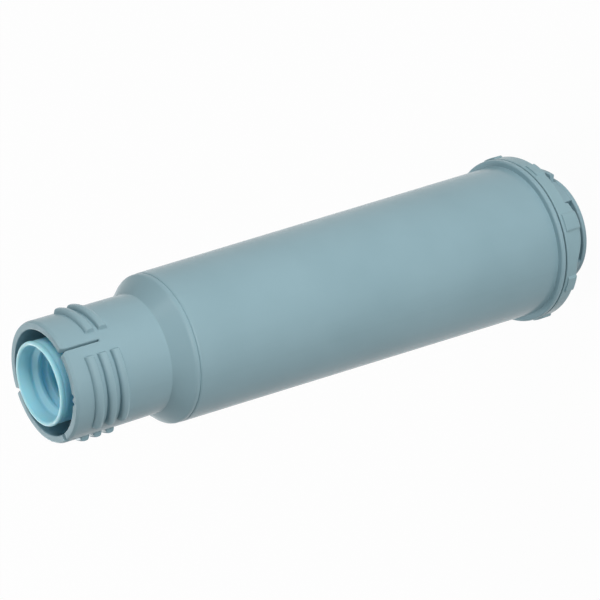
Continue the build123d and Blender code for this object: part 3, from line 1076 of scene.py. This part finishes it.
@dataclass
class MonthRing:
    """Turning ring on the hub: rim, web, running hub, raised pads and a long grip. Sizes in mm."""

    bore: float = 14.06
    rim_r: float = 20.6
    rim_t: float = 1.6
    hub_t: float = 1.6
    low_z: float = 9.2
    top_z: float = 12.7
    web_t: float = 1.5
    pad_proud: float = 0.45
    pad_drop: float = 0.7
    pad_count: int = 8
    pad_half: float = 6.8
    pad_first: float = 0.5
    lug_drop: float = 1.74
    grip: Pair = (-119.0, -76.0)
    grip_mid: float = -93.6
    grip_arc_r: float = 21.6
    grip_limit: float = 60.0
    edge_soft: float = 0.6
    spacing: float = 3.0

    def build(self, material: Material) -> Object:
        """Turn the ring's section while pads push its wall out and the grip pulls its lower edge down.

        The wall's radius is the rim's plus the pad's height times the window functions of the pads. The
        lower edge is the ring's minus the lug's drop, which an arc across the grip takes back towards its
        ends: the arc's radius less the root of that radius squared minus the squared distance from the
        grip's middle.

        Args:
            material: Finish of the ring.

        Returns:
            The object.
        """
        soft = np.degrees(self.edge_soft / self.rim_r)
        run = np.array([-0.3, 0.0, 0.3, 0.6, 0.95, 1.3, 1.6, 1.9])
        mids = self.pad_first + 360.0 / self.pad_count * np.arange(self.pad_count)
        spans = [(mid - self.pad_half, mid + self.pad_half) for mid in mids]
        ends = [a + run for a, _ in spans + [self.grip]] + [b - run for _, b in spans + [self.grip]]
        phi = columns(self.spacing, np.concatenate(ends))
        pad = windows(phi, spans, soft)
        off = np.clip(phi - self.grip_mid, -self.grip_limit, self.grip_limit)
        aside = self.rim_r * np.sin(np.radians(off))
        sag = self.grip_arc_r - np.sqrt(self.grip_arc_r ** 2 - aside ** 2)
        lug = window(phi, *self.grip, soft) * np.clip(self.lug_drop - sag, 0.0, self.lug_drop)
        inner = self.rim_r - self.rim_t
        web_z = self.low_z + self.web_t
        pad_z = self.top_z - self.pad_drop
        section = np.array([
            (self.bore, self.low_z, 0.15),
            (inner, self.low_z, 0.0),
            (inner, self.low_z, 0.1),
            (self.rim_r, self.low_z, 0.38),
            (self.rim_r, pad_z, 0.3),
            (self.rim_r, pad_z, 0.1),
            (self.rim_r, self.top_z, 0.38),
            (inner, self.top_z, 0.2),
            (inner, web_z, 0.3),
            (self.bore + self.hub_t, web_z, 0.3),
            (self.bore + self.hub_t, self.top_z, 0.2),
            (self.bore, self.top_z, 0.15),
        ])
        corners = np.repeat(section[None, :, :2], len(phi), axis=0)
        corners[:, 2:4, 1] -= (APART + lug)[:, None]
        corners[:, 3:5, 0] += (APART + self.pad_proud * pad)[:, None]
        outline = rounded(corners, section[:, 2])
        piece = turned_piece("month_dial", outline, phi, Body.DIAL, ("month_ring",))
        dress(piece, material)
        return piece


@dataclass
class Filling:
    """Pieces inside the barrel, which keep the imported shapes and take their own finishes."""

    plastic_nodes: Names = ("riser_tube", "press_plate")
    felt_nodes: Names = ("inlet_fleece", "outlet_fleece")
    granule_nodes: Names = ("granulate_bed",)

    def build(self, plastic: Material, felt: Material, granules: Material) -> None:
        """Dress the tube, plate, felt rings and bed.

        Args:
            plastic: Finish of the tube and the press plate.
            felt: Finish of the felt rings.
            granules: Finish of the bed.
        """
        groups = [(self.plastic_nodes, plastic), (self.felt_nodes, felt), (self.granule_nodes, granules)]
        for nodes, material in groups:
            for node in nodes:
                dress(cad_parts[node], material)
                LOG.info("dressed %s", node)


@dataclass(frozen=True)
class Lamp:
    """Soft lamp that points at the part. Lengths in metres, power in watts."""

    name: str
    place: Triple
    power: float
    width: float
    height: float

    def build(self, aim: Triple) -> None:
        """Hang the lamp, unseen by the camera.

        Args:
            aim: Point that the lamp shines on.
        """
        light = bpy.data.lights.new(self.name, "AREA")
        light.energy = self.power
        light.shape = "RECTANGLE"
        light.size = self.width
        light.size_y = self.height
        holder = bpy.data.objects.new(self.name, light)
        holder.location = self.place
        holder.visible_camera = False
        holder.rotation_euler = (Vector(aim) - Vector(self.place)).to_track_quat("-Z", "Y").to_euler()
        bpy.context.scene.collection.objects.link(holder)


@dataclass
class Studio:
    """White floor, soft lamps, white surroundings and the camera. Lengths in metres."""

    floor_half: float = 4.0
    floor_z: float = -0.00002
    floor_matt: float = 0.7
    floor_glow: float = 0.97
    sky: float = 0.05
    lamps: tuple[Lamp, ...] = (
        Lamp("low_strip", (0.0, -0.42, 0.045), 0.6, 0.35, 0.08),
        Lamp("key_lamp", (0.0, -0.995, 0.27), 2.4, 0.5, 0.1),
        Lamp("side_lamp", (0.75, -0.433, 0.59), 3.3, 0.4, 0.4),
        Lamp("back_lamp", (-0.181, 0.498, 0.938), 2.8, 0.4, 0.4),
        Lamp("back_fill", (-0.1, 0.95, 0.3), 3.2, 0.4, 0.4),
        Lamp("top_lamp", (0.0, -0.087, 1.086), 1.5, 0.4, 0.4),
    )
    aim: Triple = (0.0, 0.0, 0.08)
    eye: Triple = (0.001007, -0.469763, 0.385226)
    right: Triple = (-0.2910, -0.5234, -0.8009)
    up: Triple = (0.9568, -0.1592, -0.2436)
    forward: Triple = (0.0, 0.8371, -0.5470)
    lens: float = 143.4
    sensor: float = 36.0
    clip_start: float = 0.01

    def seen(self, tree: bpy.types.NodeTree) -> Socket:
        """Value that is 1 for rays from the camera, from gloss and through glass.

        Args:
            tree: Node tree to add the nodes to.

        Returns:
            The value's socket.
        """
        path = tree.nodes.new("ShaderNodeLightPath")
        total = path.outputs["Is Camera Ray"]
        for name in ("Is Glossy Ray", "Is Transmission Ray"):
            both = tree.nodes.new("ShaderNodeMath")
            both.operation = "MAXIMUM"
            tree.links.new(total, both.inputs[0])
            tree.links.new(path.outputs[name], both.inputs[1])
            total = both.outputs[0]
        return total

    def build_floor(self) -> None:
        """Lay a white floor just under the part, part glow and part matt so that the shadow stays."""
        h, z = self.floor_half, self.floor_z
        mesh = bpy.data.meshes.new("studio_floor")
        mesh.from_pydata([(-h, -h, z), (h, -h, z), (h, h, z), (-h, h, z)], [], [(0, 1, 2, 3)])
        floor = bpy.data.objects.new("studio_floor", mesh)
        bpy.context.scene.collection.objects.link(floor)
        material = bpy.data.materials.new("studio_white")
        material.cycles.emission_sampling = "NONE"
        material.use_nodes = True
        tree = material.node_tree
        tree.nodes.clear()
        matt = tree.nodes.new("ShaderNodeBsdfDiffuse")
        matt.inputs["Color"].default_value = (*[self.floor_matt] * 3, 1.0)
        glow = tree.nodes.new("ShaderNodeEmission")
        glow.inputs["Color"].default_value = (1.0, 1.0, 1.0, 1.0)
        share = tree.nodes.new("ShaderNodeMath")
        share.operation = "MULTIPLY"
        share.inputs[1].default_value = self.floor_glow
        tree.links.new(self.seen(tree), share.inputs[0])
        mix = tree.nodes.new("ShaderNodeMixShader")
        tree.links.new(share.outputs[0], mix.inputs[0])
        tree.links.new(matt.outputs[0], mix.inputs[1])
        tree.links.new(glow.outputs[0], mix.inputs[2])
        end = tree.nodes.new("ShaderNodeOutputMaterial")
        tree.links.new(mix.outputs[0], end.inputs["Surface"])
        floor.data.materials.append(material)

    def build_sky(self) -> None:
        """Surround the scene with even white light, seen as plain white."""
        world = bpy.data.worlds.new("studio_sky")
        bpy.context.scene.world = world
        world.use_nodes = True
        tree = world.node_tree
        back = tree.nodes["Background"]
        back.inputs["Color"].default_value = (1.0, 1.0, 1.0, 1.0)
        level = tree.nodes.new("ShaderNodeMapRange")
        level.inputs["To Min"].default_value = self.sky
        level.inputs["To Max"].default_value = 1.0
        tree.links.new(self.seen(tree), level.inputs["Value"])
        tree.links.new(level.outputs["Result"], back.inputs["Strength"])

    def build_camera(self) -> None:
        """Set the camera by its eye point and its right, up and forward directions."""
        camera = bpy.data.cameras.new("studio_camera")
        camera.lens = self.lens
        camera.sensor_width = self.sensor
        camera.clip_start = self.clip_start
        holder = bpy.data.objects.new("studio_camera", camera)
        axes = [self.right, self.up, tuple(-v for v in self.forward)]
        turn = Matrix(axes).transposed().to_4x4()
        holder.matrix_world = Matrix.Translation(self.eye) @ turn
        bpy.context.scene.collection.objects.link(holder)
        bpy.context.scene.camera = holder

    def build(self) -> None:
        """Build floor, sky, lamps and camera."""
        self.build_floor()
        self.build_sky()
        for lamp in self.lamps:
            lamp.build(self.aim)
        self.build_camera()
        bpy.context.scene.view_settings.view_transform = "Standard"


def main() -> None:
    """Build the cartridge's pieces and the studio."""
    logging.basicConfig(level=logging.INFO, format="%(message)s")
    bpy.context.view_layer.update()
    body = SatinPlastic("housing_satin", (142, 172, 181), (148, 178, 187)).build()
    cap = SatinPlastic("cap_satin", (142, 171, 180), (148, 177, 186)).build()
    dial = SatinPlastic("dial_satin", (142, 172, 180), (148, 178, 186)).build()
    rubber = SoftRubber("sleeve_rubber", (172, 227, 245), (180, 233, 250)).build()
    natural = SatinPlastic("natural_plastic", (214, 217, 216), (226, 228, 226)).build()
    felt = PressedFelt("pressed_felt").build()
    granules = LooseGranules("loose_granules").build()
    ends = EndCap()
    pieces = [
        Housing().build(body),
        OutletSeal().build(rubber),
        ends.build_cap(cap),
        ends.build_disc(cap),
        MonthRing().build(dial),
    ]
    for piece in pieces:
        LOG.info("built %s with %d faces", piece.name, len(piece.data.polygons))
    Filling().build(natural, felt, granules)
    Studio().build()


if __name__ == "__main__":
    main()
